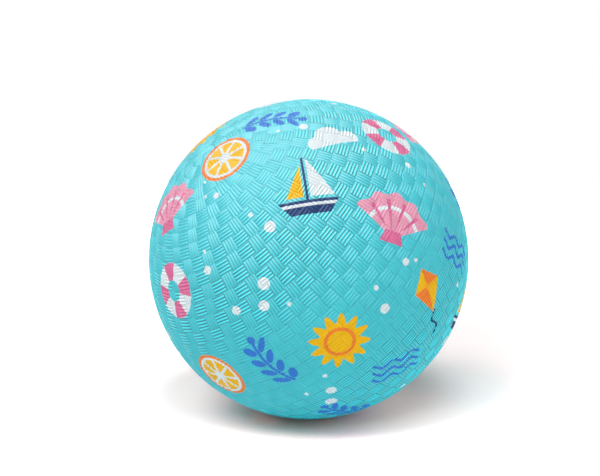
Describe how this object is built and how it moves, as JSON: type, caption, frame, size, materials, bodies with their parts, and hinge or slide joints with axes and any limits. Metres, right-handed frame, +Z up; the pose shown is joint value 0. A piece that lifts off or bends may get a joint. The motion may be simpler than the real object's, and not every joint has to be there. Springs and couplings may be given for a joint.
{
  "type": "toy ball",
  "caption": "Inflatable rubber play ball: textured two-half cover over an air bladder, with a recessed needle valve whose plug pulls out.",
  "frame": {"origin": "centre of the ball", "axes": "+Z up as pictured, -Y towards the camera; the valve's axis points behind the ball, to its right and down"},
  "size_m": [0.1798, 0.1794, 0.18],
  "materials": {
    "cover_rubber": "satin, moulded basketweave, printed",
    "bladder_rubber": "matte",
    "housing_rubber": "matte",
    "core_rubber": "matte"
  },
  "bodies": {
    "ball": {"cover_plain_half": "cover_rubber", "cover_valve_half": "cover_rubber", "bladder": "bladder_rubber", "valve_housing": "housing_rubber"},
    "valve_plug": {"valve_core": "core_rubber"}
  },
  "joints": [
    {"name": "valve_core_pull", "type": "slide", "parent": "ball", "child": "valve_plug", "axis": [0.6355, 0.31, -0.7071], "range_m": [0, 0.02]}
  ]
}
